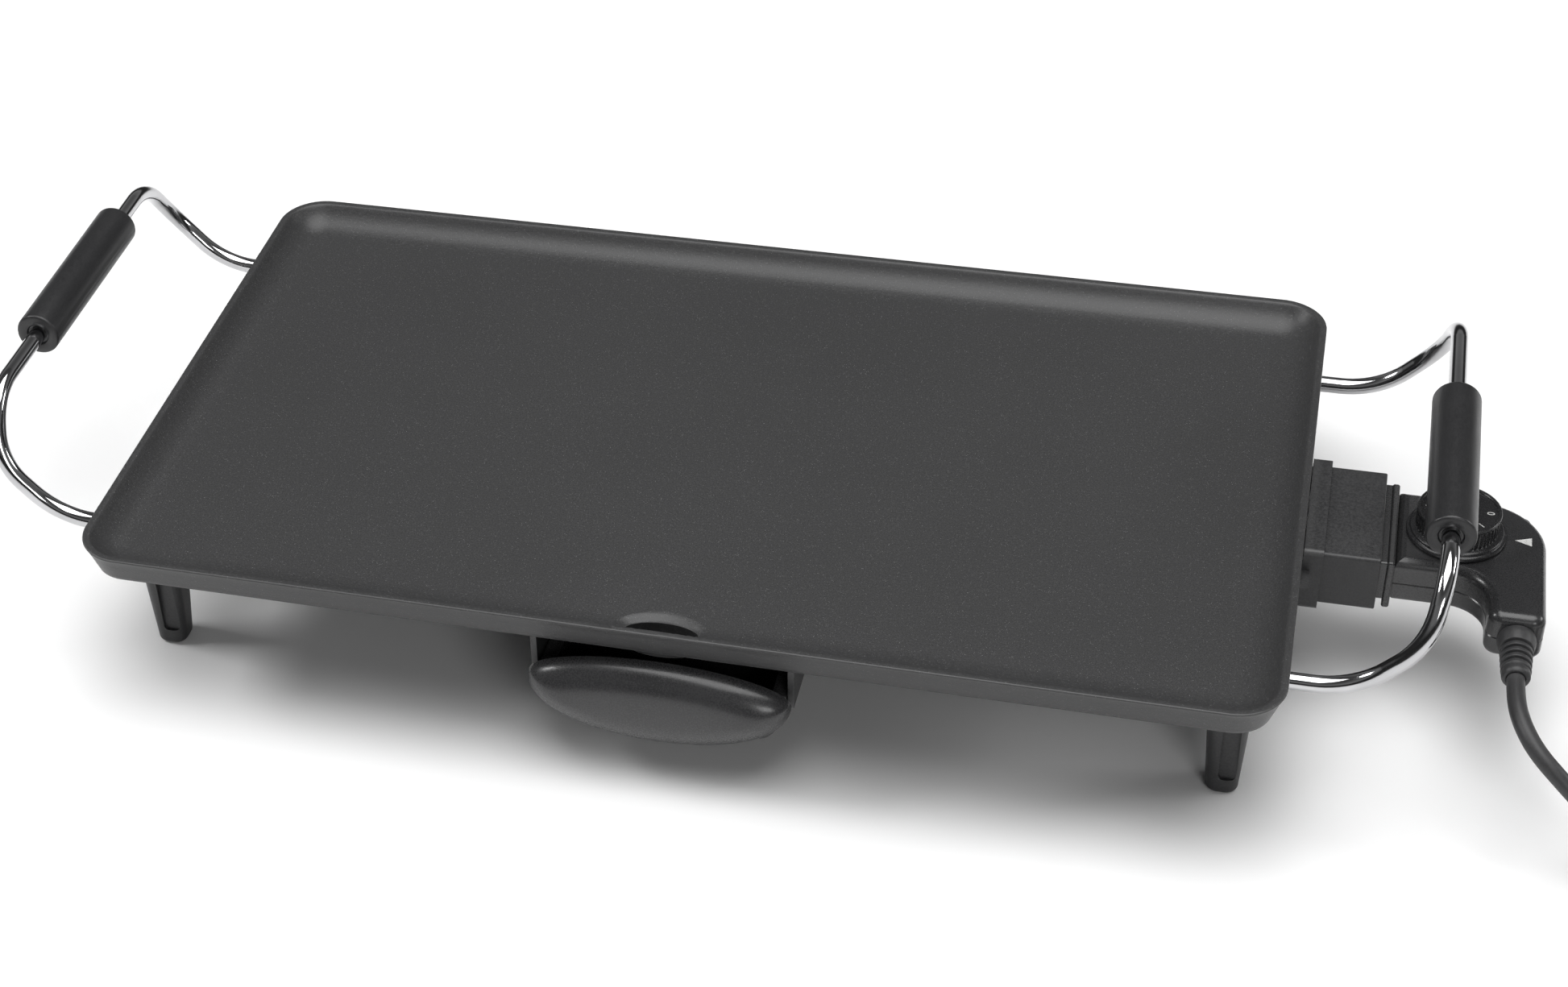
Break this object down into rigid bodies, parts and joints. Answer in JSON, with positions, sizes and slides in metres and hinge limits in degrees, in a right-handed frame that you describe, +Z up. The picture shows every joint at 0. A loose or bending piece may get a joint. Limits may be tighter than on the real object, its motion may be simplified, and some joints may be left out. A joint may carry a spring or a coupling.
{
  "type": "electric griddle",
  "caption": "Rectangular cast table griddle with wire handles, four feet, a front drip tray and a plug-in thermostat controller on a cord.",
  "frame": {"origin": "on the table top, under the middle of the griddle's footprint with its cord left out", "axes": "+X along the plate towards the controller, +Y from the drip tray to the back, +Z up"},
  "size_m": [0.772, 0.284, 0.1155],
  "materials": {
    "nonstick_coat": "cast aluminium with a speckled dark grey satin non-stick coat",
    "chrome_wire": "polished chrome plate",
    "grip_black": "satin black heat-proof plastic",
    "phenolic": "black phenolic moulding, fine grain",
    "gloss_black": "black phenolic moulding with polished edges",
    "dial_black": "polished black plastic, ribbed side",
    "tray_plastic": "satin black plastic",
    "bright_steel": "plain bright steel",
    "brass": "stamped brass",
    "nickel_pins": "nickel-plated brass",
    "ceramic": "white steatite",
    "wire_insulation": "glass-braided lead insulation",
    "cord_rubber": "matt black rubber jacket",
    "plug_rubber": "moulded black rubber"
  },
  "bodies": {
    "plate": {"griddle_plate": "nonstick_coat", "heating_element": "bright_steel", "terminal_seals": "ceramic", "terminal_pins": "bright_steel", "earth_tab": "bright_steel", "foot_front_left": "phenolic", "foot_front_right": "phenolic", "foot_rear_left": "phenolic", "foot_rear_right": "phenolic", "foot_screws": "bright_steel", "tray_guide": "phenolic", "guide_screws": "bright_steel", "socket_shroud": "phenolic", "shroud_screws": "bright_steel", "left_handle_rod": "chrome_wire", "right_handle_rod": "chrome_wire"},
    "tray": {"drip_tray": "tray_plastic"},
    "left_grip": {"left_handle_grip": "grip_black"},
    "right_grip": {"right_handle_grip": "grip_black"},
    "controller": {"controller_lower_housing": "gloss_black", "controller_upper_housing": "gloss_black", "housing_screws": "bright_steel", "controller_nose": "gloss_black", "contact_sleeves": "brass", "earth_contact": "brass", "probe": "bright_steel", "thermostat_bracket": "bright_steel", "contact_blades": "brass", "ceramic_spacers": "ceramic", "lead_wires": "wire_insulation", "cord_clamp": "phenolic", "strain_relief": "cord_rubber", "power_cord": "cord_rubber", "cord_coil": "cord_rubber", "mains_plug": "plug_rubber", "plug_pins": "nickel_pins"},
    "dial": {"dial": "dial_black", "dial_spindle": "bright_steel"}
  },
  "joints": [
    {"name": "tray_slide", "type": "slide", "parent": "plate", "child": "tray", "axis": [0, -1, 0], "range_m": [0, 0.095]},
    {"name": "controller_slide", "type": "slide", "parent": "plate", "child": "controller", "axis": [1, 0, 0], "range_m": [0, 0.11]},
    {"name": "dial_turn", "type": "hinge", "parent": "controller", "child": "dial", "pos_m": [0.28225, 0.003, 0.07], "axis": [0, 0, -1], "range_deg": [0, 270]},
    {"name": "left_grip_spin", "type": "hinge", "parent": "plate", "child": "left_grip", "pos_m": [-0.30775, 0.012, 0.106], "axis": [0, 1, 0], "continuous": true},
    {"name": "right_grip_spin", "type": "hinge", "parent": "plate", "child": "right_grip", "pos_m": [0.27625, -0.01, 0.106], "axis": [0, 1, 0], "continuous": true}
  ]
}
